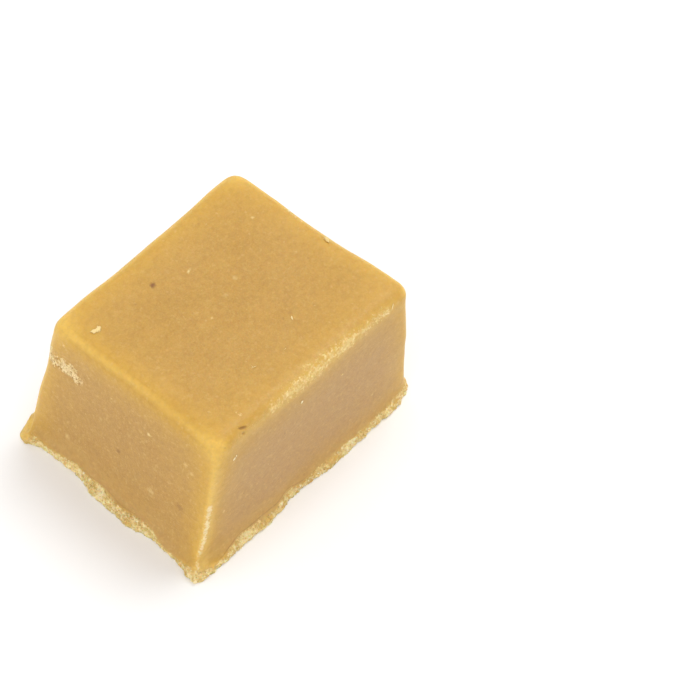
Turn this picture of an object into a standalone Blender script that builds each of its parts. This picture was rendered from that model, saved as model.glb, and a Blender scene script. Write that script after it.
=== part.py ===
"""A hand-cut fudge cube, modelled as one solid block.

The block stands on its flat foot, with the origin at the middle of the foot's bounding box, +X along
its long side and +Z up. Its four walls lean in towards the top, where every edge and corner is
softly rounded. Along the foot the knife has squeezed out a thin, uneven lip all the way round.
"""

import math
from collections import namedtuple

import bmesh
import bpy
from mathutils import Vector, noise

MM = 0.001

# The block's nominal size before its edges are rounded and its lip is added. TOP_SHIFT is how far the
# hand-cut block leans: where the middle of its top lies from the middle of its foot.
HEIGHT = 17.85 * MM
TOP_LENGTH = 25.9 * MM
TOP_WIDTH = 21.7 * MM
FOOT_LENGTH = 28.8 * MM
FOOT_WIDTH = 23.2 * MM
TOP_SHIFT = (0.35 * MM, -0.54 * MM)

# The upright corners, in millimetres. side says which way the corner lies in X and Y. top_drift and
# foot_drift are how far the knife strayed from the nominal size there. top_round and foot_round are
# the radii in plan, and tip is how much further the lip reaches round the corner than beside it.
Corner = namedtuple("Corner", "side top_drift foot_drift top_round foot_round tip")
CORNERS = (
    Corner((-1, -1), (-0.10, 0.05), (-0.50, -0.05), 1.7, 0.55, 0.30),
    Corner((1, -1), (0.75, -0.20), (0.70, -0.05), 1.6, 0.90, -0.40),
    Corner((1, 1), (-0.60, 0.20), (-0.45, -0.25), 1.2, 0.80, 0.10),
    Corner((-1, 1), (-0.25, -0.45), (0.10, 0.20), 2.0, 0.70, 0.75),
)
TOP_EDGE_ROUND = 1.55 * MM

# The lip along the foot: its usual reach past the wall, its height, the height over which it springs
# from the wall, and how far round a corner it is drawn out.
LIP_REACH = 0.62 * MM
LIP_HEIGHT = 1.25 * MM
LIP_CREASE = 0.45 * MM
LIP_TIP_ZONE = 1.9 * MM
LIP_UNDERCUT = 0.15 * MM

# Where the lip swells or thins out: the middle of each place on the foot, how far it spreads, and how
# much it adds to the lip's reach, all in millimetres.
Swell = namedtuple("Swell", "x y spread extra")
LIP_SWELLS = (
    Swell(-14.5, 7.8, 2.6, -0.20),
    Swell(-14.5, 0.6, 4.8, 0.40),
    Swell(-14.5, -2.9, 1.5, 0.35),
    Swell(-14.5, -7.0, 2.6, -0.35),
    Swell(-6.0, -11.5, 2.6, 0.30),
    Swell(-0.5, -11.5, 2.2, -0.22),
    Swell(9.0, -11.5, 4.5, 0.15),
    Swell(14.5, -3.5, 3.0, 0.30),
    Swell(14.5, 4.5, 2.6, -0.20),
    Swell(5.0, 11.5, 4.0, 0.32),
    Swell(-5.5, 11.5, 3.0, -0.20),
)
FLARE_REACH = 0.25 * MM
FLARE_HEIGHT = 1.60 * MM

# The waves of a hand-cut surface, as (bumps for each metre, depth). The lip's depths are shares of its
# reach. The walls and the top use different stretches of the same noise.
FACE_WAVES = ((130.0, 0.26 * MM), (420.0, 0.07 * MM))
LIP_WAVES = ((260.0, 0.35), (520.0, 0.22))
WALL_NOISE_SHIFT = Vector((1.0, 2.0, 3.0))
TOP_SAG = 0.16 * MM

# The mesh: cuts across each side of the cube that the block grows from, and how strongly they crowd
# towards its edges.
GRID_CUTS = 23
GRID_CROWDING = 0.74

FUDGE_COLOUR = (0.64, 0.37, 0.115, 1.0)
FUDGE_ROUGHNESS = 0.5
CREASE_ANGLE = math.radians(50)
NEAR_ZERO = 1e-9


def clear_scene():
    for obj in list(bpy.data.objects):
        bpy.data.objects.remove(obj, do_unlink=True)


def smoothstep(low, high, value):
    t = min(max((value - low) / (high - low), 0.0), 1.0)
    return t * t * (3.0 - 2.0 * t)


def crowded(coordinate):
    """Moves a cube coordinate from -1 to 1 so that the grid is finer near both ends."""
    eased = math.sin(coordinate * math.pi / 2)
    return coordinate + (eased - coordinate) * GRID_CROWDING


def waves(place, octaves):
    """A smooth random value from place, the sum of several noises."""
    return sum(depth * noise.noise(place * rate) for rate, depth in octaves)


def between_corners(across, along, value):
    """Blends a value of the four corners bilinearly, for across and along from -1 to 1."""
    total = 0.0
    for corner in CORNERS:
        weight = (1 + corner.side[0] * across) * (1 + corner.side[1] * along) / 4
        total += weight * value(corner)
    return total


def round_edges(sharp):
    """Rounds the block's top edges and upright corners.

    sharp is a point of the nominal block with sharp edges. Returns the rounded point and the way out
    from it in plan, which is zero on the flat of the top.
    """
    half = Vector((TOP_LENGTH / 2, TOP_WIDTH / 2))
    across, along = sharp.x / half.x, sharp.y / half.y
    top_round = between_corners(across, along, lambda c: c.top_round) * MM
    foot_round = between_corners(across, along, lambda c: c.foot_round) * MM
    upright = foot_round + (top_round - foot_round) * sharp.z / HEIGHT
    edge = TOP_EDGE_ROUND
    radius = upright + (edge - upright) * smoothstep(HEIGHT - 2 * edge, HEIGHT, sharp.z)
    core = Vector(
        (
            min(max(sharp.x, radius - half.x), half.x - radius),
            min(max(sharp.y, radius - half.y), half.y - radius),
            min(sharp.z, HEIGHT - edge),
        )
    )
    away = sharp - core
    if away.length < NEAR_ZERO:
        return sharp, Vector((0, 0))
    reach = Vector((away.x / radius, away.y / radius, away.z / edge))
    reach.normalize()
    point = core + Vector((reach.x * radius, reach.y * radius, reach.z * edge))
    outward = away.xy
    return point, outward.normalized() if outward.length > NEAR_ZERO else Vector((0, 0))


def lean_out(point):
    """Moves a point of the upright nominal block to where the leaning walls carry it."""
    across, along = 2 * point.x / TOP_LENGTH, 2 * point.y / TOP_WIDTH
    drop = 1 - point.z / HEIGHT

    def corner_place(corner, axis):
        top_size, foot_size = ((TOP_LENGTH, FOOT_LENGTH), (TOP_WIDTH, FOOT_WIDTH))[axis]
        top = corner.side[axis] * top_size / 2 + TOP_SHIFT[axis] + corner.top_drift[axis] * MM
        foot = corner.side[axis] * foot_size / 2 + corner.foot_drift[axis] * MM
        return top + (foot - top) * drop

    x = between_corners(across, along, lambda c: corner_place(c, 0))
    y = between_corners(across, along, lambda c: corner_place(c, 1))
    return Vector((x, y, point.z))


def lip_reach(place):
    """How far the lip stands out past the wall at a place on the foot."""
    reach = LIP_REACH * (1 + waves(Vector((place.x, place.y, 0)), LIP_WAVES))
    for swell in LIP_SWELLS:
        away = (place.xy - Vector((swell.x, swell.y)) * MM).length / (swell.spread * MM)
        reach += swell.extra * MM * math.exp(-away * away)
    for corner in CORNERS:
        corner_at = Vector((corner.side[0] * FOOT_LENGTH / 2, corner.side[1] * FOOT_WIDTH / 2))
        nearness = 1 - (place.xy - corner_at).length / LIP_TIP_ZONE
        reach += corner.tip * MM * smoothstep(0, 1, nearness)
    return reach


def wall_push(place):
    """How far the wall stands out at a place on it: its waves, the flare at its foot and the lip."""
    push = waves(place + WALL_NOISE_SHIFT, FACE_WAVES) * smoothstep(0, LIP_HEIGHT, place.z)
    push += FLARE_REACH * math.exp(-place.z / FLARE_HEIGHT)
    push += lip_reach(place) * (1 - smoothstep(LIP_HEIGHT - LIP_CREASE, LIP_HEIGHT, place.z))
    push -= LIP_UNDERCUT * (1 - smoothstep(0, LIP_CREASE, place.z))
    return push


def block_point(cube_point):
    """Carries a point on the surface of a cube from -1 to 1 to its place on the fudge."""
    across, along, up = (crowded(c) for c in cube_point)
    sharp = Vector((across * TOP_LENGTH / 2, along * TOP_WIDTH / 2, (up + 1) / 2 * HEIGHT))
    rounded, outward = round_edges(sharp)
    place = lean_out(rounded)
    middle = math.cos(across * math.pi / 2) * math.cos(along * math.pi / 2)
    push = wall_push(place)
    lift = waves(place, FACE_WAVES) - TOP_SAG * middle
    place.z += lift * smoothstep(HEIGHT / 2, HEIGHT, place.z)
    place.xy += outward * push
    return place


def fudge_mesh():
    shape = bmesh.new()
    bmesh.ops.create_cube(shape, size=2.0)
    bmesh.ops.subdivide_edges(shape, edges=shape.edges[:], cuts=GRID_CUTS, use_grid_fill=True)
    for vertex in shape.verts:
        vertex.co = block_point(vertex.co.copy())
    foot = [face for face in shape.faces if all(abs(v.co.z) < NEAR_ZERO for v in face.verts)]
    bmesh.ops.dissolve_faces(shape, faces=foot)
    low = Vector(min(v.co[axis] for v in shape.verts) for axis in range(3))
    high = Vector(max(v.co[axis] for v in shape.verts) for axis in range(3))
    middle = (low + high) / 2
    bmesh.ops.translate(shape, verts=shape.verts[:], vec=(-middle.x, -middle.y, 0))
    bmesh.ops.recalc_face_normals(shape, faces=shape.faces[:])
    mesh = bpy.data.meshes.new("fudge")
    shape.to_mesh(mesh)
    shape.free()
    mesh.shade_smooth()
    mesh.set_sharp_from_angle(angle=CREASE_ANGLE)
    return mesh


def fudge_material():
    material = bpy.data.materials.new("fudge")
    material.use_nodes = True
    surface = material.node_tree.nodes["Principled BSDF"]
    surface.inputs["Base Color"].default_value = FUDGE_COLOUR
    surface.inputs["Roughness"].default_value = FUDGE_ROUGHNESS
    surface.inputs["Metallic"].default_value = 0.0
    material.diffuse_color = FUDGE_COLOUR
    return material


def main():
    clear_scene()
    collection = bpy.data.collections.new("fudge cube")
    bpy.context.scene.collection.children.link(collection)
    fudge = bpy.data.objects.new("fudge", fudge_mesh())
    fudge.data.materials.append(fudge_material())
    collection.objects.link(fudge)


main()
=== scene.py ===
"""The looks of a hand-cut fudge cube, on a white floor in soft light.

The body is the CAD block's own surface, made finer, with the scuffs, pits and crumbly lip of cut
fudge. Sugar crumbs sit in the lip, and a few flakes and slivers lie on the block.
"""

import math
import random
from collections import namedtuple

import bmesh
import bpy
import numpy as np
from mathutils import Matrix, Quaternion, Vector, noise
from mathutils.bvhtree import BVHTree


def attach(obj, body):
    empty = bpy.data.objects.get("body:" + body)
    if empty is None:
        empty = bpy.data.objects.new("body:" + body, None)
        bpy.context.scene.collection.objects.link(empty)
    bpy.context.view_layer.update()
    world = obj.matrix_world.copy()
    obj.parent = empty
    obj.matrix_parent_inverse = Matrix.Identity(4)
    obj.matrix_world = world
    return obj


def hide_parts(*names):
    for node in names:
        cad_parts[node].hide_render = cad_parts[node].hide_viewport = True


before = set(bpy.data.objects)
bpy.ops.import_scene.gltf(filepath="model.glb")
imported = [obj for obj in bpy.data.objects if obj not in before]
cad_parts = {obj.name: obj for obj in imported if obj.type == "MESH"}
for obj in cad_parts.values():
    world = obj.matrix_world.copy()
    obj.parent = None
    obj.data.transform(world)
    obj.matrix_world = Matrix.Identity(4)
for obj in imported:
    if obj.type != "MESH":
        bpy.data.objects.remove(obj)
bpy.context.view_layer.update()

MM = 0.001
TINY = 0.001 * MM

# ---------------------------------------------------------------- where the block is worn, and where glow and shade are painted

# A scuff is a stroke over the surface, from start to end, where the smooth skin is broken into sugar
# crumbs. strength is how much of it is broken, pale is how white its crumbs are, depth is how rough it
# is, and gaps is how much painted shade darkens the gaps between them, where 0 means powdery. Places,
# width and depth are in millimetres, and the rest run from 0 to about 1.
Scuff = namedtuple("Scuff", "start end width strength pale depth gaps")
SCUFFS = (
    Scuff((-9.5, -11.35, 16.9), (-4.0, -11.3, 17.0), 0.90, 0.36, 0.0, 0.03, 0.0),
    Scuff((-5.2, -11.3, 17.05), (-2.5, -11.27, 17.1), 1.10, 0.64, 0.04, 0.04, 0.0),
    Scuff((-3.2, -11.27, 17.1), (5.5, -11.27, 17.1), 1.30, 0.90, 0.12, 0.05, 0.0),
    Scuff((4.0, -11.3, 17.05), (10.4, -11.45, 16.85), 1.05, 0.78, 0.12, 0.05, 0.0),
    Scuff((-12.75, -11.4, 12.6), (-13.3, -11.5, 8.4), 0.40, 0.50, 0.36, 0.03, 0.0),
    Scuff((-13.2, -11.4, 9.2), (-14.35, -11.7, 2.4), 0.50, 1.10, 0.72, 0.05, 0.15),
    Scuff((-14.35, -11.7, 2.4), (-14.65, -11.75, 0.9), 0.46, 0.80, 0.50, 0.05, 0.15),
    Scuff((-13.0, 9.5, 13.5), (-13.2, 8.0, 12.9), 0.95, 0.58, 0.62, 0.12, 1.0),
    Scuff((-13.1, 8.7, 13.0), (-13.2, 6.5, 12.6), 1.35, 0.64, 0.74, 0.15, 1.0),
    Scuff((12.8, 3.4, 17.6), (12.9, 1.9, 17.6), 0.50, 0.60, 0.25, 0.10, 0.5),
    Scuff((13.9, -4.0, 8.6), (14.1, -5.8, 7.9), 0.75, 0.52, 0.30, 0.10, 0.9),
    Scuff((14.0, -5.6, 7.8), (14.2, -7.4, 7.2), 1.15, 0.66, 0.36, 0.13, 0.9),
    Scuff((-6.5, 11.0, 17.1), (3.5, 11.2, 17.1), 1.25, 0.64, 0.10, 0.05, 0.0),
    Scuff((5.6, 11.4, 6.4), (7.0, 11.4, 5.7), 1.05, 0.66, 0.36, 0.13, 0.9),
    Scuff((7.2, 11.4, 5.9), (9.4, 11.5, 5.4), 0.65, 0.52, 0.30, 0.10, 0.9),
    Scuff((13.6, 11.2, 9.0), (14.0, 11.4, 1.2), 0.40, 0.80, 0.45, 0.05, 0.15),
)

# A band is a soft stroke over the surface, from start to end. Places and width are in millimetres, and
# strength runs from 0 to 1.
Band = namedtuple("Band", "start end width strength")

# Painted glow bands: pale yellow painted along rims, upright edges and tips, as painted glow and highlight
# on the rounded edges.
PAINTED_GLOW_BANDS = (
    Band((-11.5, -11.5, 16.7), (-5.0, -11.5, 16.7), 0.60, 0.26),
    Band((-5.0, -11.35, 17.0), (5.5, -11.35, 17.0), 0.78, 0.48),
    Band((5.5, -11.45, 16.9), (11.5, -11.5, 16.8), 0.70, 0.36),
    Band((-12.4, -11.6, 14.0), (-13.95, -12.0, 1.0), 0.55, 0.80),
    Band((-15.6, 11.5, 0.7), (-14.8, 12.0, 0.9), 0.90, 0.55),
    Band((-15.9, -12.4, 0.4), (-14.9, -11.9, 1.4), 0.60, 0.35),
    Band((12.9, -9.0, 17.0), (12.9, 10.0, 17.0), 0.50, 0.35),
    Band((-11.0, 11.1, 17.0), (12.0, 11.2, 17.0), 0.50, 0.50),
    Band((13.3, 11.1, 13.0), (14.0, 11.4, 1.2), 0.45, 0.60),
)

# Where the surface strays from the CAD block's: the middle of each place, how far it spreads and how
# far it is moved, in millimetres.
Stray = namedtuple("Stray", "place spread move")
STRAYS = (
    Stray((-15.1, 11.9, 0.6), 1.5, (-0.10, -0.50, 0.0)),
    Stray((-14.3, 12.5, 0.7), 1.3, (0.06, -0.88, 0.0)),
    Stray((-14.7, 11.9, 1.7), 1.1, (-0.20, 0.24, 0.0)),
    Stray((-14.3, 12.3, 1.5), 0.85, (0.05, -0.12, -0.38)),
    Stray((-15.5, 9.9, 0.6), 1.1, (-0.22, 0.0, 0.0)),
    Stray((-15.2, 4.1, 0.6), 1.4, (0.42, 0.0, 0.0)),
    Stray((-15.8, -2.2, 0.6), 1.0, (0.20, 0.0, 0.0)),
    Stray((-15.4, -5.5, 0.6), 0.8, (0.14, 0.0, 0.0)),
    Stray((-15.4, -7.4, 0.6), 1.0, (-0.20, 0.0, 0.0)),
    Stray((-15.2, -12.1, 0.4), 0.9, (-0.40, -0.18, 0.0)),
    Stray((-14.2, -12.0, 1.6), 1.9, (-0.22, 0.20, 0.0)),
    Stray((-12.9, 10.6, 14.6), 2.6, (-0.30, 0.16, 0.0)),
    Stray((12.9, 1.2, 17.6), 4.5, (-0.14, 0.0, -0.10)),
    Stray((-10.8, -12.5, 0.5), 1.3, (0.0, -0.16, 0.0)),
    Stray((-6.0, -12.6, 0.5), 1.0, (0.0, -0.18, 0.0)),
    Stray((-2.4, -12.4, 0.5), 1.0, (0.0, 0.18, 0.0)),
    Stray((2.6, -12.2, 0.5), 1.8, (0.0, -0.14, 0.0)),
)

# The nub, where the lip stays smooth, as (place, radius) in millimetres.
SMOOTH_LIP = ((-14.8, 12.3, 0.8), 2.2)

# Where the crumbs reach less far up the lip, as (place on the foot, spread) in millimetres, and the
# share of the height that is lost.
Bare = namedtuple("Bare", "x y spread share")
BARE_LIP = (
    Bare(-14.5, -8.4, 3.0, 0.55),
    Bare(-14.5, 8.2, 2.0, 0.45),
    Bare(-12.6, -12.3, 1.6, 0.30),
    Bare(-0.5, -11.5, 1.8, 0.25),
    Bare(14.5, 4.5, 2.6, 0.40),
    Bare(-5.5, 11.5, 3.0, 0.45),
)

# Where crumbs are few on the lip, and where they crowd.
SPARSE = (
    Band((-14.0, -12.3, 0.8), (-11.8, -12.3, 0.8), 0.8, 0.40),
    Band((-5.5, -12.3, 0.8), (-4.0, -12.3, 0.8), 0.8, 0.25),
    Band((-15.4, -9.0, 0.6), (-15.4, -11.0, 0.6), 0.8, 0.20),
)
CROWDS = (
    Band((-15.2, 6.5, 0.8), (-15.4, -8.0, 0.8), 2.0, 0.40),
    Band((-15.6, -12.2, 0.6), (-14.6, -12.4, 0.6), 0.8, 0.35),
    Band((-10.8, -12.3, 0.8), (-8.2, -12.3, 0.8), 1.0, 0.22),
    Band((15.0, -9.0, 0.8), (15.0, -1.0, 0.8), 2.0, 0.35),
    Band((-2.0, 12.3, 0.8), (8.5, 12.3, 0.8), 2.0, 0.30),
)

# Rims where less painted glow is laid than elsewhere, as if less light came through them.
DULL_RIMS = (
    Band((-10.2, -11.0, 17.6), (12.5, -11.0, 17.6), 1.60, 0.60),
)

# Upright edges and tips where more painted glow is laid, as if more light came through them, and how much
# more.
LIT_EDGES = (
    Band((-12.7, 11.2, 15.0), (-14.5, 12.0, 1.5), 0.80, 0.75),
    Band((-15.8, 11.6, 0.3), (-14.9, 12.4, 0.4), 0.80, 1.0),
    Band((-16.0, -12.5, 0.2), (-15.0, -12.2, 0.6), 0.80, 1.0),
    Band((-15.8, -11.0, 0.3), (-16.0, -12.5, 0.2), 0.70, 0.90),
)
EDGE_LIGHT = 0.34

# Painted crease shadows: where a thin dark line of painted shadow lies in the crease that parts the lip
# from the wall.
CREASE_SHADOWS = (
    Band((-11.5, -12.0, 1.2), (-7.0, -12.0, 1.2), 1.2, 0.30),
    Band((-5.5, -12.0, 1.2), (-1.0, -12.0, 1.2), 1.0, 0.26),
    Band((-15.0, 2.4, 1.2), (-15.0, -2.6, 1.2), 1.2, 0.18),
    Band((14.8, -7.0, 1.2), (14.8, -4.0, 1.2), 1.2, 0.22),
    Band((4.0, 12.0, 1.2), (8.0, 12.0, 1.2), 1.2, 0.24),
)

# A pit is a small hollow, darkened by painted shade, as (place, way it is drawn out, half length, half
# width, depth), in millimetres.
Pit = namedtuple("Pit", "place long half_length half_width depth")
PITS = (
    Pit((-8.93, -11.06, 17.60), (0.81, -0.33, -0.24), 0.55, 0.17, 0.15),
    Pit((-9.12, -11.45, 17.22), (0.8, -0.3, -0.4), 0.29, 0.23, 0.11),
    Pit((-11.5, -11.2, 17.2), (1, 0, 0), 0.12, 0.10, 0.06),
    Pit((6.2, 11.3, 12.1), (0, 0, 1), 0.30, 0.16, 0.12),
    Pit((13.7, 3.3, 11.2), (0, 1, 0.3), 0.34, 0.14, 0.12),
    Pit((7.8, 6.1, 17.9), (1, 1, 0), 0.14, 0.11, 0.05),
)

# A stain is a burnt sugar speck in the surface, and a patch is a pale one. Place and radius are in
# millimetres, and strength runs from 0 to 1.
Mark = namedtuple("Mark", "place radius strength")
STAINS = (
    Mark((-3.1, 5.9, 17.8), 0.36, 0.85),
    Mark((2.9, 4.9, 17.8), 0.20, 0.30),
    Mark((3.7, -5.4, 17.8), 0.15, 0.50),
    Mark((5.3, 7.9, 17.8), 0.22, 0.18),
    Mark((-13.7, -0.1, 7.4), 0.36, 0.42),
    Mark((-13.8, -8.2, 6.7), 0.48, 0.40),
    Mark((-3.4, -11.6, 11.5), 0.20, 0.40),
    Mark((10.3, 11.3, 9.1), 0.30, 0.40),
    Mark((-8.7, 11.2, 13.3), 0.22, 0.35),
    Mark((13.6, -6.0, 12.6), 0.26, 0.40),
)
PATCHES = (
    Mark((-13.9, -4.7, 5.9), 0.46, 0.40),
    Mark((-14.1, 6.4, 3.6), 0.44, 0.32),
    Mark((-13.5, 2.6, 9.7), 0.28, 0.35),
    Mark((-13.1, -3.3, 12.9), 0.22, 0.65),
    Mark((-13.1, -8.1, 12.9), 0.30, 0.40),
    Mark((-13.2, -8.9, 12.4), 0.28, 0.32),
    Mark((0.5, 4.7, 17.8), 0.18, 0.80),
    Mark((3.0, 1.1, 17.8), 0.32, 0.35),
    Mark((0.9, 0.3, 17.8), 0.30, 0.28),
    Mark((13.5, 2.2, 6.1), 0.40, 0.35),
    Mark((1.6, 11.2, 5.3), 0.42, 0.35),
)

# A chip is a loose flake or sliver of sugar lying on the surface, and along is the way it lies. Place,
# length, width and thickness are in millimetres, and tone runs from tan at 0 to cream at 1.
Chip = namedtuple("Chip", "place along length width thickness tone")
CHIPS = (
    Chip((-10.78, 5.98, 17.9), (1, -0.5, 0), 0.60, 0.42, 0.16, 0.64),
    Chip((-10.34, 5.90, 17.9), (1, 0.6, 0), 0.64, 0.42, 0.20, 0.68),
    Chip((3.30, -5.90, 17.8), (0.6, 1, 0), 0.42, 0.14, 0.10, 0.75),
    Chip((-3.40, -7.30, 17.8), (1, -0.3, 0), 0.50, 0.07, 0.07, 0.55),
    Chip((-3.50, -7.15, 17.8), (0.3, 1, 0), 0.32, 0.06, 0.06, 0.55),
    Chip((0.20, -7.90, 17.8), (1, 0.1, 0), 0.30, 0.06, 0.05, 0.5),
    Chip((10.6, -11.5, 16.7), (1, 0.2, -0.4), 0.50, 0.10, 0.08, 0.8),
    Chip((11.4, -11.4, 17.0), (0.7, 0.3, 0.8), 0.55, 0.09, 0.08, 0.8),
    Chip((-10.5, -11.6, 14.7), (1, 0, 0.6), 0.36, 0.16, 0.10, 1.0),
    Chip((-10.2, -11.6, 14.9), (0.5, 0, 1), 0.26, 0.12, 0.08, 0.9),
    Chip((-1.4, -11.7, 14.6), (1, 0, 1), 0.34, 0.22, 0.12, 1.0),
    Chip((4.5, -11.6, 13.0), (1, 0, -0.3), 0.28, 0.18, 0.06, 0.7),
    Chip((12.55, -2.0, 17.75), (0.2, 1, 0), 0.70, 0.42, 0.34, 0.5),
    Chip((12.75, 3.0, 17.65), (0.4, 1, 0), 0.30, 0.18, 0.16, 1.0),
    Chip((-15.9, -12.4, 0.45), (1, 0.2, 0.3), 0.36, 0.28, 0.24, 0.85),
    Chip((4.1, 11.3, 10.6), (1, 0, 0.5), 0.36, 0.16, 0.10, 0.9),
    Chip((-7.7, 11.2, 8.1), (0.3, 0, 1), 0.26, 0.12, 0.08, 0.8),
    Chip((13.7, -1.6, 12.9), (0, 1, 0.5), 0.34, 0.15, 0.10, 0.9),
)


def clamp(value, low, high):
    return min(max(value, low), high)


def smoothstep(low, high, value):
    t = clamp((value - low) / (high - low), 0.0, 1.0)
    return t * t * (3.0 - 2.0 * t)


def stroke_distance(place, stroke):
    """How far a place is from the line that a scuff or a band follows."""
    start, end = Vector(stroke.start) * MM, Vector(stroke.end) * MM
    along = end - start
    share = clamp((place - start).dot(along) / along.length_squared, 0.0, 1.0)
    return (place - start - along * share).length


def spot_distance(place, spot):
    """How far a place is from a spot that is given in millimetres."""
    return (place - Vector(spot) * MM).length


def waves(place, octaves, level=0.0):
    """Smooth noise around a level, as the sum of octaves of (size, depth)."""
    return sum((depth * noise.noise(place / size) for size, depth in octaves), level)


def mesh_from(shape, name):
    """Turns a bmesh into a mesh and frees it."""
    mesh = bpy.data.meshes.new(name)
    shape.to_mesh(mesh)
    shape.free()
    return mesh


# ---------------------------------------------------------------- the block's surface

LIP_HEIGHT = 1.25 * MM
SMOOTH_LEVELS = 2

# Edges that are longer than suits the detail where they lie are split, in a few rounds. ANY_EDGE is
# longer than any edge. A margin is how far the finer mesh reaches from the middle of a feature, as a
# share of the feature's own size.
SPLIT_ROUNDS = 3
FINE_EDGE = 0.14 * MM
FINEST_EDGE = 0.085 * MM
ANY_EDGE = 1.0
LIP_MARGIN = 1.25
PIT_MARGIN = 1.6
MARK_MARGIN = 1.5
SCUFF_MARGIN = 1.2


def cad_surface():
    """The CAD block's surface without its foot, welded and turned back from triangles to quads."""
    shape = bmesh.new()
    shape.from_mesh(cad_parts["fudge"].data)
    bmesh.ops.remove_doubles(shape, verts=shape.verts[:], dist=TINY)
    foot = [face for face in shape.faces if all(v.co.z < TINY for v in face.verts)]
    bmesh.ops.delete(shape, geom=foot, context="FACES")
    bmesh.ops.join_triangles(
        shape,
        faces=shape.faces[:],
        angle_face_threshold=math.pi,
        angle_shape_threshold=math.pi,
    )
    return shape


def smoothed(shape):
    """Subdivides a bmesh with Catmull-Clark and returns it as a new bmesh."""
    mesh = mesh_from(shape, "smoothing")
    helper = bpy.data.objects.new("smoothing", mesh)
    bpy.context.scene.collection.objects.link(helper)
    subdivision = helper.modifiers.new("smooth", "SUBSURF")
    subdivision.levels = SMOOTH_LEVELS
    bpy.context.view_layer.update()
    finer = bmesh.new()
    finer.from_object(helper, bpy.context.evaluated_depsgraph_get())
    bpy.data.objects.remove(helper)
    bpy.data.meshes.remove(mesh)
    return finer


def wanted_edge(place):
    """The longest mesh edge that suits the detail at a place."""
    if place.z < LIP_MARGIN * LIP_HEIGHT:
        return FINE_EDGE
    for pit in PITS:
        if spot_distance(place, pit.place) < PIT_MARGIN * pit.half_length * MM:
            return FINEST_EDGE
    for mark in STAINS + PATCHES:
        if spot_distance(place, mark.place) < MARK_MARGIN * mark.radius * MM:
            return FINEST_EDGE
    for scuff in SCUFFS:
        if stroke_distance(place, scuff) < SCUFF_MARGIN * scuff.width * MM:
            return FINE_EDGE
    return ANY_EDGE


def refine(shape):
    """Splits the long edges, and then drops the vertices that are left with only two edges."""
    for _ in range(SPLIT_ROUNDS):
        long = [
            edge
            for edge in shape.edges
            if edge.calc_length() > wanted_edge((edge.verts[0].co + edge.verts[1].co) / 2)
        ]
        bmesh.ops.subdivide_edges(shape, edges=long, cuts=1, use_grid_fill=True)
    idle = [vertex for vertex in shape.verts if len(vertex.link_edges) == 2 and not vertex.is_boundary]
    bmesh.ops.dissolve_verts(shape, verts=idle)


# ---------------------------------------------------------------- what the surface is like at a place

# Waves are octaves of smooth noise, as (size, depth), and a level is the value that they swing around.
# A fade is a pair of values, between which something comes in or dies out. The nub's is in shares of
# its radius, and NUB_CRUMBS is how crumbly it stays.
LIP_LINE_LEVEL = 0.95
LIP_LINE_WAVES = ((2.2 * MM, 0.26),)
LIP_FADE = (-0.30 * MM, 0.22 * MM)
NUB_FADE = (0.5, 1.1)
NUB_CRUMBS = 0.12

CROWD_LEVEL = 0.78
CROWD_WAVES = ((1.5 * MM, 0.65), (0.5 * MM, 0.50))
LEAST_CROWD = 0.15

# A scuff fades out from its core to its rim, both in widths from its line. Its outline wanders, and
# more so where it is gappy, which also makes its edge crisper. Clumps are (level, gain, least, most).
SCUFF_CORE = -0.5
GAPPY_CORE = 0.7
SCUFF_RIM = 1.35
OUTLINE_WAVES = ((1.1 * MM, 0.50), (0.4 * MM, 0.35))
OUTLINE_SHARE = 0.55
GAPPY_OUTLINE = 0.45
CLUMP_LEVEL = 0.80
CLUMP_WAVES = ((0.8 * MM, 0.55), (0.3 * MM, 0.30))
WEAR_CLUMPS = (0.45, 0.75, 0.4, 1.15)
POWDER_CLUMPS = (0.35, 0.6, 0.4, 1.0)

# Each grain has a level of its own, and dips at the gaps round it.
GRAIN_GAP = 0.30
GRAIN_GAP_DEPTH = 0.6
GRAIN_LEVEL_RATE = 7.3

# The fades of pits and marks are in shares of their size, and so is the reach past which a mark is
# surely over.
PIT_FADE = (0.3, 1.25)
MARK_REACH = 2
MARK_FADE = (0.1, 1.25)
MARK_WAVES = ((0.22 * MM, 0.45),)


def lip_line(place):
    """The height up to which the lip is crumbly: uneven, and lower where it is bare."""
    line = LIP_HEIGHT * waves(place, LIP_LINE_WAVES, LIP_LINE_LEVEL)
    for bare in BARE_LIP:
        away = math.hypot(place.x - bare.x * MM, place.y - bare.y * MM) / (bare.spread * MM)
        line *= 1 - bare.share * math.exp(-away * away)
    return line


def on_lip(place, rise):
    """How far a place belongs to the lip: 1 low on it, 0 on the wall. rise is its height over the line."""
    nub, radius = SMOOTH_LIP
    rough = smoothstep(*NUB_FADE, spot_distance(place, nub) / (radius * MM))
    rough = NUB_CRUMBS + (1 - NUB_CRUMBS) * rough
    return rough * (1 - smoothstep(*LIP_FADE, rise))


def banded(place, bands):
    """How strong the strongest of some soft bands is at a place."""
    most = 0.0
    for band in bands:
        away = stroke_distance(place, band) / (band.width * MM)
        most = max(most, band.strength * math.exp(-away * away))
    return most


def clustered(place):
    """How densely the lip's crumbs sit at a place, from 0 to 1."""
    density = waves(place, CROWD_WAVES, CROWD_LEVEL)
    density += banded(place, CROWDS) - banded(place, SPARSE)
    return clamp(density, LEAST_CROWD, 1.0)


def clumped(clump, level, gain, least, most):
    return clamp(level + gain * clump, least, most)


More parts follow.
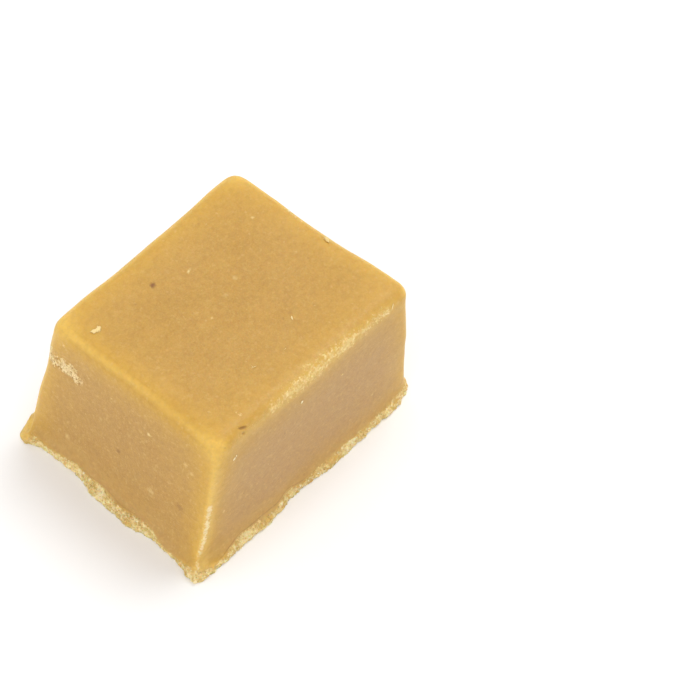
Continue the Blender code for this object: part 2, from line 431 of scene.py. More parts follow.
def scuffed(place):
    """How worn the skin is at a place, how pale its crumbs are, how rough, how gappy and how powdery."""
    outline = waves(place, OUTLINE_WAVES)
    clump = waves(place, CLUMP_WAVES, CLUMP_LEVEL)
    wear = pale = depth = gaps = powder = 0.0
    for scuff in SCUFFS:
        away = stroke_distance(place, scuff) / (scuff.width * MM)
        away += outline * min(scuff.width, 1.0) ** 2 * (OUTLINE_SHARE + GAPPY_OUTLINE * scuff.gaps)
        core = SCUFF_CORE + scuff.gaps * GAPPY_CORE
        share = scuff.strength * (1 - smoothstep(core, SCUFF_RIM, away))
        wear = max(wear, share * clumped(clump, *WEAR_CLUMPS))
        pale = max(pale, share * scuff.pale)
        depth = max(depth, share * scuff.depth)
        gaps = max(gaps, share * scuff.gaps)
        powder = max(powder, share * (1 - scuff.gaps) * clumped(clump, *POWDER_CLUMPS))
    return wear, pale, depth, gaps, powder


def strayed(place):
    """How far the surface strays from the CAD block's at a place."""
    moved = Vector()
    for stray in STRAYS:
        away = spot_distance(place, stray.place) / (stray.spread * MM)
        moved += Vector(stray.move) * MM * math.exp(-away * away)
    return moved


def grains(place, size):
    """The relief of crumbs of about one size, each at its own level, with gaps between them."""
    distances, points = noise.voronoi(place / size)
    gap = 1 - smoothstep(0.0, GRAIN_GAP, distances[1] - distances[0])
    return noise.cell(points[0] * GRAIN_LEVEL_RATE) - GRAIN_GAP_DEPTH * gap


def hollow(pit, place):
    """How deep a pit is at a place, from 0 to 1."""
    offset = place - Vector(pit.place) * MM
    long = Vector(pit.long).normalized()
    along = offset.dot(long)
    across = (offset - long * along).length
    away = math.hypot(along / (pit.half_length * MM), across / (pit.half_width * MM))
    return 1 - smoothstep(*PIT_FADE, away)


def marked(place, marks):
    """How strong the strongest of some soft, ragged spots is at a place."""
    most = 0.0
    for mark in marks:
        away = spot_distance(place, mark.place) / (mark.radius * MM)
        if away < MARK_REACH:
            ragged = waves(place, MARK_WAVES, away)
            most = max(most, mark.strength * (1 - smoothstep(*MARK_FADE, ragged)))
    return most


# ---------------------------------------------------------------- the body

# The layers of values on the body's vertices that its material reads.
LAYERS = (
    "thin",
    "wall",
    "flank",
    "glow_band",
    "crease_shadow",
    "rise",
    "lip",
    "crumb",
    "crest",
    "pale",
    "stain_and_pit_shade",
    "patch",
    "powder",
    "gaps",
)

# Rays feel how near the far side of the block is. They start just under the surface, at THIN_START in
# millimetres, and run mostly sideways and a little inwards.
# How near it is sets how much yellow glow is painted into the colour, where light would shine through thin
# rims and edges.
THIN_REACH = 2.2 * MM
THIN_RAYS = 8
THIN_START = 0.05
THIN_SIDEWAYS = 0.94
THIN_INWARDS = 0.34
THIN_FARTHEST = 30 * MM

# A wall's normal is nearly level, and a flank is a wall that faces along Y, which gets a painted sheen: a
# greyer tan that stands in for reflection at a grazing view. Between the heights of HIGH_FLANK, a flank
# loses part of that painted sheen.
WALL_FADE = (0.5, 0.95)
FLANK_FADE = (0.5, 0.9)
HIGH_FLANK = (11 * MM, 16.5 * MM)
HIGH_FLANK_LOSS = 0.6

# The relief, in millimetres. Grains are (size, share), and a crest is how high a place stands among
# the crumbs, from 0 to 1.
SKIN_WAVES = ((2.6 * MM, 0.030), (0.9 * MM, 0.012))
GRAINS = ((0.42 * MM, 0.6), (0.2 * MM, 0.5))
LEDGE_WAVES = ((1.3 * MM, 0.15), (0.55 * MM, 0.16))
LIP_PALE_WAVES = ((1.1 * MM, 0.5),)
LIP_RELIEF = 0.075
SKIN_CREST = 0.5
WORN_CREST = 0.28
WORN_CREST_RELIEF = 0.25
LIP_CREST = 0.05
LIP_CREST_RELIEF = 0.20
LIP_CREST_DENSITY = 0.35
MOST_RISE = 4.0
# How dark a pit's painted shade is for its depth, and at most.
PIT_SHADE = 4
MOST_PIT_SHADE = 0.5

# The rings that close the foot, as shares of its own outline, once that is evened over FOOT_EVENING
# vertices on either side, and the values that the rings' vertices get.
FOOT_RINGS = (0.95, 0.89, 0.80, 0.68, 0.54, 0.38, 0.19)
FOOT_EVENING = 9
FOOT_LOOKS = {"rise": -0.5, "lip": 0.4, "crest": 0.35}
FOOT_CRUMB_LEVEL = 0.30
FOOT_CRUMB_WAVES = ((2.0 * MM, 0.25),)


def thinness(tree, place, normal):
    """How near the far side is, seen from just under the surface: 0 on a broad face, 1 on a thin edge."""
    side = normal.orthogonal().normalized()
    start = place - normal * THIN_START * MM
    total = 0.0
    for k in range(THIN_RAYS):
        spin = Quaternion(normal, 2 * math.pi * k / THIN_RAYS)
        way = (spin @ side) * THIN_SIDEWAYS - normal * THIN_INWARDS
        found = tree.ray_cast(start, way)[3]
        total += math.exp(-(found or THIN_FARTHEST) / THIN_REACH)
    return total / THIN_RAYS


def lay_broad_layers(shape, layers):
    """Fills the layers that vary softly, which the finer mesh then takes over."""
    tree = BVHTree.FromBMesh(shape)
    for vertex in shape.verts:
        place, normal = vertex.co, vertex.normal
        # Painted glow: thin rims and edges get a yellow painted into the colour, less on the dull rims and
        # more on the lit edges.
        thin = thinness(tree, place, normal)
        thin *= 1 - banded(place, DULL_RIMS)
        wall = 1 - smoothstep(*WALL_FADE, abs(normal.z))
        flank = wall * smoothstep(*FLANK_FADE, abs(normal.y))
        vertex[layers["thin"]] = thin + EDGE_LIGHT * banded(place, LIT_EDGES)
        vertex[layers["wall"]] = wall
        # How much painted sheen a wall facing along Y gets, less near the top.
        vertex[layers["flank"]] = flank * (1 - HIGH_FLANK_LOSS * smoothstep(*HIGH_FLANK, place.z))
        # Painted glow and highlight in bands along the rims and edges.
        vertex[layers["glow_band"]] = banded(place, PAINTED_GLOW_BANDS)
        # Painted shadow along the creases over the lip.
        vertex[layers["crease_shadow"]] = banded(place, CREASE_SHADOWS)


def roughen(vertex, layers):
    """Fills the fine layers at a vertex, and returns how far its relief moves it."""
    place, normal = vertex.co.copy(), vertex.normal.copy()
    rise = place.z - lip_line(place)
    lip = on_lip(place, rise)
    wear, pale, depth, gaps, powder = scuffed(place)
    lift = waves(place, SKIN_WAVES)
    crumb = wear
    crest = SKIN_CREST
    if lip > 0 or wear > 0:
        relief = sum(share * grains(place, size) for size, share in GRAINS)
        crest = WORN_CREST + WORN_CREST_RELIEF * relief
        lift += wear * depth * relief
    if lip > 0:
        density = clustered(place)
        crumb = max(crumb, lip * density)
        crest += lip * (LIP_CREST + LIP_CREST_RELIEF * relief + LIP_CREST_DENSITY * density)
        pale = max(pale, lip * waves(place, LIP_PALE_WAVES))
        lift += lip * (waves(place, LEDGE_WAVES) + LIP_RELIEF * relief)
    pit_depth = max(hollow(pit, place) * pit.depth for pit in PITS)
    vertex[layers["rise"]] = min(rise / MM, MOST_RISE)
    vertex[layers["lip"]] = lip
    vertex[layers["crumb"]] = crumb
    vertex[layers["crest"]] = clamp(crest, 0.0, 1.0)
    vertex[layers["pale"]] = clamp(pale, 0.0, 1.0)
    vertex[layers["powder"]] = powder
    vertex[layers["gaps"]] = gaps
    # Burnt sugar stains, and painted shade in the pits.
    vertex[layers["stain_and_pit_shade"]] = max(marked(place, STAINS), min(pit_depth * PIT_SHADE, MOST_PIT_SHADE))
    vertex[layers["patch"]] = marked(place, PATCHES)
    move = normal * (lift - pit_depth) * MM + strayed(place)
    if place.z < TINY:
        move.z = 0
    return move


def evened(places, reach):
    """Each place of a closed loop moved to the middle of its neighbours, up to reach on either side."""
    count = len(places)
    return [
        sum((places[(k + step) % count] for step in range(-reach, reach + 1)), Vector()) / (2 * reach + 1)
        for k in range(count)
    ]


def rim_of_foot(shape):
    """The vertices of the open foot's edge, in order round it."""
    edge = next(edge for edge in shape.edges if edge.is_boundary)
    first, vertex = edge.verts
    loop = [first]
    while vertex != first:
        loop.append(vertex)
        edge = next(other for other in vertex.link_edges if other.is_boundary and other != edge)
        vertex = edge.other_vert(vertex)
    return loop


def close_foot(shape, layers):
    """Closes the foot with rings of faces, which carry fewer crumbs than the lip."""
    outer = rim_of_foot(shape)
    middle = sum((vertex.co for vertex in outer), Vector()) / len(outer)
    places = evened([vertex.co for vertex in outer], FOOT_EVENING)
    for share in FOOT_RINGS:
        inner = []
        for place in places:
            vertex = shape.verts.new(middle + (place - middle) * share)
            vertex.co.z = 0.0
            for name, value in FOOT_LOOKS.items():
                vertex[layers[name]] = value
            vertex[layers["crumb"]] = waves(vertex.co, FOOT_CRUMB_WAVES, FOOT_CRUMB_LEVEL)
            inner.append(vertex)
        for k in range(len(outer)):
            shape.faces.new((outer[k - 1], outer[k], inner[k], inner[k - 1]))
        outer = inner
    shape.faces.new(outer)


def body_mesh():
    shape = smoothed(cad_surface())
    shape.normal_update()
    layers = {name: shape.verts.layers.float.new(name) for name in LAYERS}
    lay_broad_layers(shape, layers)
    refine(shape)
    shape.normal_update()
    moves = [roughen(vertex, layers) for vertex in shape.verts]
    for vertex, move in zip(shape.verts, moves):
        vertex.co += move
        vertex.co.z = max(vertex.co.z, 0.0)
    close_foot(shape, layers)
    bmesh.ops.recalc_face_normals(shape, faces=shape.faces[:])
    mesh = mesh_from(shape, "body")
    mesh.shade_smooth()
    return mesh


# ---------------------------------------------------------------- materials

FUDGE_ROUGHNESS = 0.45
CRUMB_ROUGHNESS = 0.6
SUGAR_IOR = 1.45
SUBSURFACE_WEIGHT = 0.4
SUBSURFACE_RADIUS = (1.2, 0.6, 0.25)
SUBSURFACE_SCALE = 0.6 * MM

TOP_TAN = (0.500, 0.273, 0.045, 1)
DEEP_TOP_TAN = (0.450, 0.243, 0.038, 1)
WALL_TAN = (0.484, 0.268, 0.068, 1)
DEEP_WALL_TAN = (0.440, 0.240, 0.058, 1)
# Painted sheen: the greyer tan of walls facing along Y.
PAINTED_SHEEN_TAN = (0.462, 0.263, 0.100, 1)
# Painted light: a lighter tan low on the walls, which evens out the shade of the crease over the lip.
PAINTED_FOOT_LIGHT = (0.535, 0.312, 0.096, 1)
LIGHT_TAN = (0.640, 0.388, 0.100, 1)
PALE_TAN = (0.690, 0.460, 0.165, 1)
# Painted glow: the yellows painted where light would shine through thin rims and edges.
PAINTED_GLOW = (0.605, 0.342, 0.042, 1)
PAINTED_EDGE_GLOW = (0.790, 0.505, 0.088, 1)
# Painted glow: the yellow of the glow bands along rims and edges.
GLOW_BAND_YELLOW = (0.750, 0.500, 0.125, 1)
LIP_GOLD = (0.750, 0.515, 0.150, 1)
CRUMB_DEEP = (0.690, 0.460, 0.145, 1)
CRUMB_PALE = (0.910, 0.715, 0.330, 1)
POWDER_YELLOW = (0.830, 0.580, 0.160, 1)
POWDER_CREAM = (0.920, 0.720, 0.350, 1)
SUGAR_CREAM = (0.950, 0.830, 0.530, 1)
# Burnt sugar, which also serves as painted shade in creases, pits and the gaps between crumbs.
BURNT_AND_SHADE = (0.190, 0.060, 0.015, 1)

# Noise as a mask: the size, detail and roughness of the noise, the values between which it fades in,
# and what it fades from and to.
Mask = namedtuple("Mask", "size detail roughness low high least most", defaults=(0.0, 1.0))
CLOUDS = Mask(2.4 * MM, 3.0, 0.5, 0.3, 0.7)
FINE_GRAIN = Mask(0.20 * MM, 3.0, 0.8, 0.32, 0.72)
DULL_SPOTS = Mask(0.55 * MM, 2.0, 0.6, 0.58, 0.34)
BLOTCHES = Mask(0.42 * MM, 2.0, 0.6, 0.56, 0.72)
DUSTING = Mask(0.13 * MM, 2.0, 0.6, 0.40, 0.62, 0.35, 1.0)
CRUMB_DRIFT = Mask(0.34 * MM, 2.0, 0.6, 0.32, 0.68, 0.0, 0.38)
FLECKS = Mask(0.12 * MM, 1.0, 0.5, 0.50, 0.60, 0.0, 0.85)

# Ragged dots of unlike sizes: how far apart they lie, the share of places that has one, the largest
# radius as a share of the spacing, how strong they are and their colour.
Specks = namedtuple("Specks", "spacing share radius strength colour")
SPECKS = (
    Specks(0.80 * MM, 0.80, 0.22, 0.40, PALE_TAN),
    Specks(1.60 * MM, 0.60, 0.13, 0.50, CRUMB_PALE),
    Specks(1.40 * MM, 0.60, 0.13, 0.20, BURNT_AND_SHADE),
)

# Waves bend the dots. The size of these waves, how far they bend and how soft a dot is, as shares
# of the largest radius.
SPECK_BEND_SIZE = 0.4
SPECK_BEND = 1.6
SPECK_SOFTNESS = 0.5

# Crumbs and clumps of them, as cells with crooked edges: (size, bend).
CRUMB_CELLS = (0.17 * MM, 0.12 * MM)
CLUMP_CELLS = (0.42 * MM, 0.3 * MM)

# Fades of a layer's value, as (low, high) and, where it doesn't run from 0 to 1, (least, most).
FOOT_LIGHT_FADE = (3.0, 0.2)
GLOW_FADE = (0.0, 0.19)
EDGE_GLOW_FADE = (0.19, 0.36)
GOLD_ON_FLANK = (0.0, 1.0, 0.95, 0.55)
BLOTCH_ON_WALL = (0.0, 1.0, 0.22, 0.38)
FOOT_GLOW_FADE = (-0.6, -1.05)
CREASE_SHADOW_RISE = 0.12
CREASE_SHADOW_FADE = (0.02, 0.07, 1.0, 0.0)
PALE_CRUMB_FADE = (0.35, 1.20)
CREAM_CRUMB_FADE = (1.22, 1.62)
SHOWN_FADE = (0.86, 1.06)
GAP_FADE = (0.30, 0.18, 0.0, 0.6)
ROUGHNESS_FADE = (0.3, 0.7, 0.38, 0.54)
SPECULAR_FADE = (0.0, 1.0, 0.5, 0.25)
CRUMB_FACET = (0.0, 0.7, 0.05, 0.0)
CLUMP_FACET = (0.0, 0.7, 0.12, 0.0)
BRIGHT_CRUMB_FADE = (0.7, 1.0)

# How much of each mask counts.
FINE_SHARE = 0.52
DULL_SHARE = 0.11
FOOT_GLOW_SHARE = 0.5
POWDER_SHARE = 0.85
CRUMB_LUCK_SHARE = 0.47
CRUMB_TONE_SHARE = 0.48
CLUMP_TONE_SHARE = 0.36
CRUMB_EXTRA_ROUGHNESS = 0.15

# The bump: noise as (size, detail, roughness), and how deep it is. SKIN_BUMP and SHOWN_BUMP are in
# millimetres.
SKIN_NOISE = (0.16 * MM, 3.0, 0.65)
LUMP_NOISE = (0.5 * MM, 2.0)
SKIN_BUMP = 0.034
SHOWN_BUMP = 0.02
CRUMB_NOISE = (0.08 * MM, 2.0)
CRUMB_BUMP = 0.01 * MM
CRUMB_BUMP_STRENGTH = 0.5


def material_named(name, roughness):
    material = bpy.data.materials.new(name)
    material.use_nodes = True
    surface = material.node_tree.nodes["Principled BSDF"]
    surface.inputs["Roughness"].default_value = roughness
    surface.inputs["Metallic"].default_value = 0.0
    surface.inputs["IOR"].default_value = SUGAR_IOR
    return material, material.node_tree, surface


class Painter:
    """Adds shader nodes to one material and wires them together."""

    def __init__(self, tree):
        self.tree = tree
        self.place = tree.nodes.new("ShaderNodeTexCoord").outputs["Object"]

    def wire(self, value, socket):
        if isinstance(value, (int, float, tuple)):
            socket.default_value = value
        else:
            self.tree.links.new(value, socket)

    def noise(self, size, detail=2.0, roughness=0.5):
        node = self.tree.nodes.new("ShaderNodeTexNoise")
        self.wire(self.place, node.inputs["Vector"])
        node.inputs["Scale"].default_value = 1 / size
        node.inputs["Detail"].default_value = detail
        node.inputs["Roughness"].default_value = roughness
        return node.outputs["Fac"]

    def mask(self, mask):
        """Noise that fades in where the mask says."""
        value = self.noise(mask.size, mask.detail, mask.roughness)
        return self.spread(value, mask.low, mask.high, mask.least, mask.most)

    def bent(self, size, amount):
        """The place, pushed about by amount in waves of the given size."""
        shift = self.tree.nodes.new("ShaderNodeTexNoise")
        self.wire(self.place, shift.inputs["Vector"])
        shift.inputs["Scale"].default_value = 1 / size
        shift.inputs["Detail"].default_value = 0.0
        moved = self.tree.nodes.new("ShaderNodeVectorMath")
        moved.operation = "MULTIPLY_ADD"
        self.wire(shift.outputs["Color"], moved.inputs[0])
        moved.inputs[1].default_value = (amount,) * 3
        self.wire(self.place, moved.inputs[2])
        return moved.outputs["Vector"]

    def cells(self, size, place):
        """Cells of about one size, as (two random values of each cell, the distance from its middle)."""
        node = self.tree.nodes.new("ShaderNodeTexVoronoi")
        self.wire(place, node.inputs["Vector"])
        node.inputs["Scale"].default_value = 1 / size
        luck = self.tree.nodes.new("ShaderNodeSeparateColor")
        self.wire(node.outputs["Color"], luck.inputs["Color"])
        return luck.outputs["Red"], luck.outputs["Green"], node.outputs["Distance"]

    def specks(self, specks):
        """A mask of ragged dots of unlike sizes."""
        largest = specks.radius * specks.spacing
        bent = self.bent(SPECK_BEND_SIZE * largest, SPECK_BEND * largest)
        luck, _, distance = self.cells(specks.spacing, bent)
        size = self.spread(luck, 1 - specks.share, 1.0, 0.0, specks.radius)
        nearness = self.math("SUBTRACT", size, distance)
        return self.spread(nearness, 0.0, specks.radius * SPECK_SOFTNESS, 0.0, specks.strength)

    def attribute(self, name):
        node = self.tree.nodes.new("ShaderNodeAttribute")
        node.attribute_name = name
        return node.outputs["Fac"]

    def spread(self, value, low, high, to_low=0.0, to_high=1.0):
        """Maps what runs from low to high to run from to_low to to_high, and no further."""
        node = self.tree.nodes.new("ShaderNodeMapRange")
        self.wire(value, node.inputs["Value"])
        self.wire(low, node.inputs["From Min"])
        self.wire(high, node.inputs["From Max"])
        self.wire(to_low, node.inputs["To Min"])
        self.wire(to_high, node.inputs["To Max"])
        return node.outputs["Result"]

    def math(self, operation, first, second):
        node = self.tree.nodes.new("ShaderNodeMath")
        node.operation = operation
        self.wire(first, node.inputs[0])
        self.wire(second, node.inputs[1])
        return node.outputs["Value"]

    def times(self, first, second):
        return self.math("MULTIPLY", first, second)

    def plus(self, first, second):
        return self.math("ADD", first, second)

    def mix(self, share, first, second):
        node = self.tree.nodes.new("ShaderNodeMix")
        node.data_type = "RGBA"
        self.wire(share, node.inputs["Factor"])
        self.wire(first, node.inputs["A"])
        self.wire(second, node.inputs["B"])
        return next(s for s in node.outputs if s.name == "Result" and s.type == "RGBA")

    def bump(self, height, depth, strength=1.0):
        node = self.tree.nodes.new("ShaderNodeBump")
        node.inputs["Strength"].default_value = strength
        node.inputs["Distance"].default_value = depth
        self.wire(height, node.inputs["Height"])
        return node.outputs["Normal"]


def skin_colour(paint, layer):
    """The fudge's tans, with painted glow on thin rims and edges, a painted sheen on walls facing along Y,
    painted light low on the walls, and gold on the lip, weaker on walls facing along Y as painted shade.
    """
    cloudy = paint.mask(CLOUDS)
    top = paint.mix(cloudy, DEEP_TOP_TAN, TOP_TAN)
    wall = paint.mix(cloudy, DEEP_WALL_TAN, WALL_TAN)
    # Painted sheen on walls facing along Y.
    wall = paint.mix(layer["flank"], wall, PAINTED_SHEEN_TAN)
    # Painted light low on the walls, just over the lip.
    wall = paint.mix(paint.spread(layer["rise"], *FOOT_LIGHT_FADE), wall, PAINTED_FOOT_LIGHT)
    colour = paint.mix(layer["wall"], top, wall)
    # Painted glow where the fudge is thin, then the painted glow bands.
    colour = paint.mix(paint.spread(layer["thin"], *GLOW_FADE), colour, PAINTED_GLOW)
    colour = paint.mix(paint.spread(layer["thin"], *EDGE_GLOW_FADE), colour, PAINTED_EDGE_GLOW)
    colour = paint.mix(layer["glow_band"], colour, GLOW_BAND_YELLOW)
    # Less lip gold on walls facing along Y: painted shade on that side of the lip.
    gold = paint.times(layer["lip"], paint.spread(layer["flank"], *GOLD_ON_FLANK))
    return paint.mix(gold, colour, LIP_GOLD)


def with_specks(paint, layer, colour):
    """Lays the fine grain, blotches and specks of sugar over a colour."""
    colour = paint.mix(paint.times(paint.mask(FINE_GRAIN), FINE_SHARE), colour, LIGHT_TAN)
    colour = paint.mix(paint.times(paint.mask(DULL_SPOTS), DULL_SHARE), colour, BURNT_AND_SHADE)
    blotch = paint.times(paint.mask(BLOTCHES), paint.spread(layer["wall"], *BLOTCH_ON_WALL))
    colour = paint.mix(blotch, colour, PALE_TAN)
    for specks in SPECKS:
        colour = paint.mix(paint.specks(specks), colour, specks.colour)
    return paint.mix(layer["patch"], colour, CRUMB_PALE)


def with_wear(paint, layer, colour):
    """Lays the painted glow of the foot's edge, the powder of the scuffs and the painted shadow in the
    lip's crease over a colour.
    """
    # Painted glow along the lowest edge of the lip, as if light shone through it.
    foot_glow = paint.times(layer["lip"], FOOT_GLOW_SHARE)
    foot_glow = paint.times(paint.spread(layer["rise"], *FOOT_GLOW_FADE), foot_glow)
    colour = paint.mix(foot_glow, colour, PAINTED_EDGE_GLOW)
    powder = paint.mix(layer["pale"], POWDER_YELLOW, POWDER_CREAM)
    dusting = paint.times(paint.mask(DUSTING), layer["powder"])
    colour = paint.mix(paint.times(dusting, POWDER_SHARE), colour, powder)
    # Painted shadow in the crease just above the lip line.
    off_line = paint.math("ABSOLUTE", paint.math("SUBTRACT", layer["rise"], CREASE_SHADOW_RISE), 0.0)
    crease_shadow = paint.times(paint.spread(off_line, *CREASE_SHADOW_FADE), layer["crease_shadow"])
    return paint.mix(crease_shadow, colour, BURNT_AND_SHADE)


def with_crumbs(paint, layer, colour):
    """Lays the crumbs of the lip and the scuffs over a colour, with painted shade in the gaps between them.

    Returns the colour, how far the crumbs show, and how far a place is from the middle of its crumb
    and of its clump.
    """
    size, bend = CRUMB_CELLS
    luck, crumb_tone, off_crumb = paint.cells(size, paint.bent(bend, bend))
    luck = paint.plus(paint.times(luck, CRUMB_LUCK_SHARE), paint.mask(CRUMB_DRIFT))
    size, bend = CLUMP_CELLS
    _, clump_tone, off_clump = paint.cells(size, paint.bent(bend, bend))
    tone = paint.plus(paint.times(crumb_tone, CRUMB_TONE_SHARE), paint.times(clump_tone, CLUMP_TONE_SHARE))
    tone = paint.plus(tone, layer["crest"])
    crystals = paint.mix(paint.spread(tone, *PALE_CRUMB_FADE), CRUMB_DEEP, CRUMB_PALE)
    crystals = paint.mix(paint.spread(tone, *CREAM_CRUMB_FADE), crystals, SUGAR_CREAM)
    crystals = paint.mix(layer["pale"], crystals, SUGAR_CREAM)
    crystals = paint.mix(paint.times(layer["gaps"], paint.mask(FLECKS)), crystals, DEEP_WALL_TAN)
    # Painted shade in the gaps between crumbs.
    gap = paint.times(layer["gaps"], paint.spread(luck, *GAP_FADE))
    colour = paint.mix(gap, colour, BURNT_AND_SHADE)
    shown = paint.spread(paint.plus(layer["crumb"], luck), *SHOWN_FADE)
    return paint.mix(shown, colour, crystals), shown, off_crumb, off_clump


def fudge_material():
    material, tree, surface = material_named("fudge", FUDGE_ROUGHNESS)
    surface.inputs["Subsurface Weight"].default_value = SUBSURFACE_WEIGHT
    surface.inputs["Subsurface Radius"].default_value = SUBSURFACE_RADIUS
    surface.inputs["Subsurface Scale"].default_value = SUBSURFACE_SCALE
    paint = Painter(tree)
    layer = {name: paint.attribute(name) for name in LAYERS}
    colour = skin_colour(paint, layer)
    colour = with_specks(paint, layer, colour)
    colour = with_wear(paint, layer, colour)
    colour, shown, off_crumb, off_clump = with_crumbs(paint, layer, colour)
    # Burnt sugar stains and painted shade in the pits.
    colour = paint.mix(layer["stain_and_pit_shade"], colour, BURNT_AND_SHADE)
    tree.links.new(colour, surface.inputs["Base Color"])

    skin = paint.noise(*SKIN_NOISE)
    rough = paint.spread(skin, *ROUGHNESS_FADE)
    rough = paint.plus(rough, paint.times(shown, CRUMB_EXTRA_ROUGHNESS))
    tree.links.new(rough, surface.inputs["Roughness"])
    tree.links.new(paint.spread(shown, *SPECULAR_FADE), surface.inputs["Specular IOR Level"])

    height = paint.times(paint.plus(skin, paint.noise(*LUMP_NOISE)), SKIN_BUMP)
    facets = paint.plus(paint.spread(off_crumb, *CRUMB_FACET), paint.spread(off_clump, *CLUMP_FACET))
    facets = paint.times(facets, paint.times(shown, layer["lip"]))
    facets = paint.plus(facets, paint.times(shown, SHOWN_BUMP))
    height = paint.plus(height, facets)
    tree.links.new(paint.bump(height, MM), surface.inputs["Normal"])
    return material


def crumb_material():
    material, tree, surface = material_named("crumb", CRUMB_ROUGHNESS)
    paint = Painter(tree)
    tone = paint.attribute("tone")
    colour = paint.mix(tone, CRUMB_DEEP, CRUMB_PALE)
    colour = paint.mix(paint.spread(tone, *BRIGHT_CRUMB_FADE), colour, SUGAR_CREAM)
    tree.links.new(colour, surface.inputs["Base Color"])
    bump = paint.bump(paint.noise(*CRUMB_NOISE), CRUMB_BUMP, CRUMB_BUMP_STRENGTH)
    tree.links.new(bump, surface.inputs["Normal"])
    return material


# ---------------------------------------------------------------- crumbs and chips

# Crumbs sit where the surface is broken, which counts for less off the lip. Their radius is
# CRUMB_LEAST and up to CRUMB_EXTRA more, in millimetres. Their width and thickness are (least, extra),
# and these and what follows are shares of the radius: how far the middle stands out of the surface,
# how far it stays above the floor, and how far each corner is pushed in or out.
CRUMB_COUNT = 1100
CRUMB_SEED = 11
LEAST_BROKEN = 0.45
OFF_LIP_SHARE = 0.55
ON_LIP_EXTRA = 0.45
CRUMB_LEAST = 0.04
CRUMB_EXTRA = 0.075
CRUMB_WIDTH = (0.65, 0.3)
CRUMB_THICKNESS = (0.5, 0.4)
CRUMB_STANDS_OUT = 0.25
CRUMB_CLEARS_FLOOR = 0.8
CRUMB_CORNERS = (-0.3, 0.25)

# Chips are balls that are stretched and made lumpy by noise, as (rate, depth). CHIP_DRIFT is how far
# the noise of one chip can lie from another's.
CHIP_SEED = 5
CHIP_STANDS_OUT = 0.3
CHIP_DRIFT = 50
CHIP_LUMPS = ((1.6, 0.55), (4, 0.2))


def crumb_spots(mesh, count, rng):
    """Random places on the broken parts of the surface, as (place, way out)."""
    crumb = np.zeros(len(mesh.vertices), np.float32)
    lip = np.zeros(len(mesh.vertices), np.float32)
    mesh.attributes["crumb"].data.foreach_get("value", crumb)
    mesh.attributes["lip"].data.foreach_get("value", lip)
    crumb *= OFF_LIP_SHARE + ON_LIP_EXTRA * lip
    faces = []
    weights = []
    for face in mesh.polygons:
        if len(face.vertices) > 4:
            continue
        broken = sum(crumb[i] for i in face.vertices) / len(face.vertices)
        if broken > LEAST_BROKEN:
            faces.append(face)
            weights.append(face.area * broken)
    spots = []
    for face in rng.choices(faces, weights, k=count):
        corners = [mesh.vertices[i].co for i in face.vertices]
        shares = [rng.random() for _ in corners]
        place = sum((c * s for c, s in zip(corners, shares)), Vector()) / sum(shares)
        spots.append((place, face.normal.copy()))
    return spots


def crumb_mesh(mesh):
    rng = random.Random(CRUMB_SEED)
    shape = bmesh.new()
    tone_layer = shape.verts.layers.float.new("tone")
    for place, normal in crumb_spots(mesh, CRUMB_COUNT, rng):
        size = (CRUMB_LEAST + CRUMB_EXTRA * rng.random() ** 2) * MM
        turn = Quaternion([rng.gauss(0, 1) for _ in range(4)]).normalized().to_matrix().to_4x4()
        width, thickness = (least + extra * rng.random() for least, extra in (CRUMB_WIDTH, CRUMB_THICKNESS))
        stretch = Matrix.Diagonal((1, width, thickness, 1))
        centre = place + normal * size * CRUMB_STANDS_OUT
        centre.z = max(centre.z, size * CRUMB_CLEARS_FLOOR)
        ball = bmesh.ops.create_icosphere(
            shape, subdivisions=1, radius=size, matrix=Matrix.Translation(centre) @ turn @ stretch
        )
        tone = rng.random()
        for vertex in ball["verts"]:
            vertex.co += (vertex.co - centre) * rng.uniform(*CRUMB_CORNERS)
            vertex.co.z = max(vertex.co.z, 0.0)
            vertex[tone_layer] = tone
    return mesh_from(shape, "crumbs")


def lumpy(place, drift):
    """How far a place on a ball is pushed out to make it lumpy, as a share of its radius."""
    return sum((depth * noise.noise(place * rate + drift) for rate, depth in CHIP_LUMPS), 1)


def chip_mesh(mesh):
    rng = random.Random(CHIP_SEED)
    tree = BVHTree.FromPolygons([v.co for v in mesh.vertices], [p.vertices for p in mesh.polygons])
    shape = bmesh.new()
    tone_layer = shape.verts.layers.float.new("tone")
    for chip in CHIPS:
        place, normal = tree.find_nearest(Vector(chip.place) * MM)[:2]
        along = Vector(chip.along)
        along = (along - normal * along.dot(normal)).normalized()
        turn = Matrix((along, normal.cross(along), normal)).transposed().to_4x4()
        stretch = Matrix.Diagonal((chip.length / 2, chip.width / 2, chip.thickness / 2, 1))
        centre = place + normal * chip.thickness * CHIP_STANDS_OUT * MM
        ball = bmesh.ops.create_icosphere(shape, subdivisions=3, radius=1.0)
        drift = Vector((rng.random(), rng.random(), rng.random())) * CHIP_DRIFT
        for vertex in ball["verts"]:
            vertex.co = centre + turn @ stretch @ (vertex.co * lumpy(vertex.co, drift)) * MM
            vertex[tone_layer] = chip.tone
    chips = mesh_from(shape, "chips")
    chips.shade_smooth()
    return chips


# ---------------------------------------------------------------- stage

FLOOR_REACH = 1.0
FLOOR_WHITE = (0.95, 0.95, 0.95, 1)
FLOOR_ROUGHNESS = 0.9
FLOOR_SPECULAR = 0.1
SKY_WHITE = (1.0, 1.0, 1.0, 1)
SKY_STRENGTH = 0.87

# Softboxes, in metres and watts: the key light up on the far side and a low fill on the near one.
Softbox = namedtuple("Softbox", "place width power")
SOFTBOXES = (
    Softbox((0.17, -0.01, 0.36), 0.20, 0.56),
    Softbox((-0.36, -0.02, 0.17), 0.30, 0.27),
)

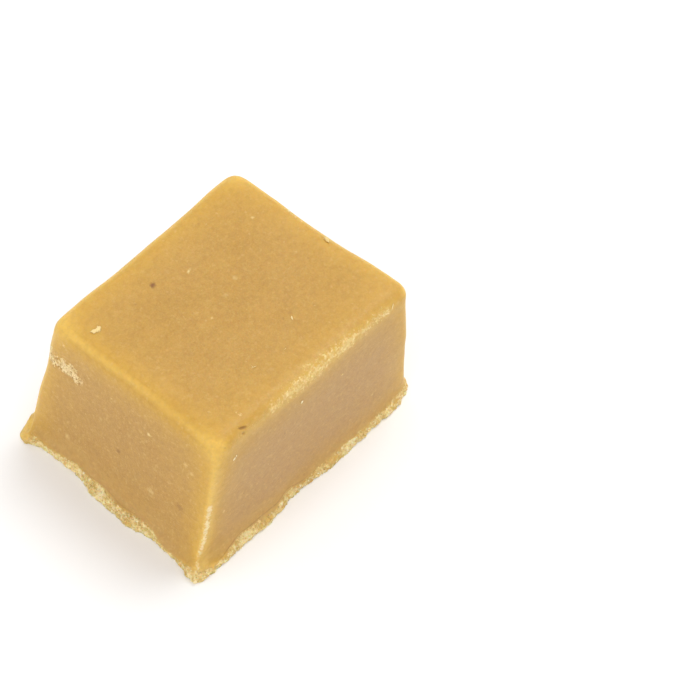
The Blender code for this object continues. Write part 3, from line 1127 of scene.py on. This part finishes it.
# The camera's azimuth turns from straight in front, and VIEW_WIDTH is how much of the world it takes
# in from side to side at the point that it aims at.
CAMERA_AZIMUTH = math.radians(-54.0)
CAMERA_ELEVATION = math.radians(53.8)
CAMERA_ROLL = math.radians(7.0)
CAMERA_DISTANCE = 300 * MM
CAMERA_AIM = Vector((14.852, -4.611, 0)) * MM
VIEW_WIDTH = 70 * MM
SENSOR = 36.0
LENS = SENSOR * CAMERA_DISTANCE / VIEW_WIDTH
CLIP_NEAR = 0.01
CLIP_FAR = 10


def piece(name, mesh, material):
    obj = bpy.data.objects.new(name, mesh)
    obj.data.materials.append(material)
    bpy.context.scene.collection.objects.link(obj)
    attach(obj, "root")
    return obj


def make_floor():
    shape = bmesh.new()
    bmesh.ops.create_grid(shape, x_segments=1, y_segments=1, size=FLOOR_REACH)
    mesh = mesh_from(shape, "floor")
    floor = bpy.data.objects.new("floor", mesh)
    bpy.context.scene.collection.objects.link(floor)
    material = bpy.data.materials.new("floor")
    material.use_nodes = True
    surface = material.node_tree.nodes["Principled BSDF"]
    surface.inputs["Base Color"].default_value = FLOOR_WHITE
    surface.inputs["Roughness"].default_value = FLOOR_ROUGHNESS
    surface.inputs["Specular IOR Level"].default_value = FLOOR_SPECULAR
    mesh.materials.append(material)


def make_lights():
    world = bpy.data.worlds.new("studio")
    world.use_nodes = True
    sky = world.node_tree.nodes["Background"]
    sky.inputs["Color"].default_value = SKY_WHITE
    sky.inputs["Strength"].default_value = SKY_STRENGTH
    bpy.context.scene.world = world
    for k, softbox in enumerate(SOFTBOXES):
        light = bpy.data.lights.new(f"softbox{k}", "AREA")
        light.shape = "DISK"
        light.size = softbox.width
        light.energy = softbox.power
        lamp = bpy.data.objects.new(f"softbox{k}", light)
        lamp.location = softbox.place
        lamp.rotation_mode = "QUATERNION"
        lamp.rotation_quaternion = lamp.location.to_track_quat("Z", "Y")
        bpy.context.scene.collection.objects.link(lamp)


def make_camera():
    camera = bpy.data.cameras.new("camera")
    camera.sensor_width = SENSOR
    camera.lens = LENS
    camera.clip_start = CLIP_NEAR
    camera.clip_end = CLIP_FAR
    holder = bpy.data.objects.new("camera", camera)
    back = Vector(
        (
            math.sin(CAMERA_AZIMUTH) * math.cos(CAMERA_ELEVATION),
            -math.cos(CAMERA_AZIMUTH) * math.cos(CAMERA_ELEVATION),
            math.sin(CAMERA_ELEVATION),
        )
    )
    holder.location = CAMERA_AIM + back * CAMERA_DISTANCE
    holder.rotation_mode = "QUATERNION"
    holder.rotation_quaternion = (-back).to_track_quat("-Z", "Y") @ Quaternion((0, 0, 1), CAMERA_ROLL)
    bpy.context.scene.collection.objects.link(holder)
    bpy.context.scene.camera = holder
    bpy.context.scene.view_settings.view_transform = "Standard"


body = piece("fudge_body", body_mesh(), fudge_material())
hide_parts("fudge")
loose = crumb_material()
piece("crumbs", crumb_mesh(body.data), loose)
piece("chips", chip_mesh(body.data), loose)
make_floor()
make_lights()
make_camera()
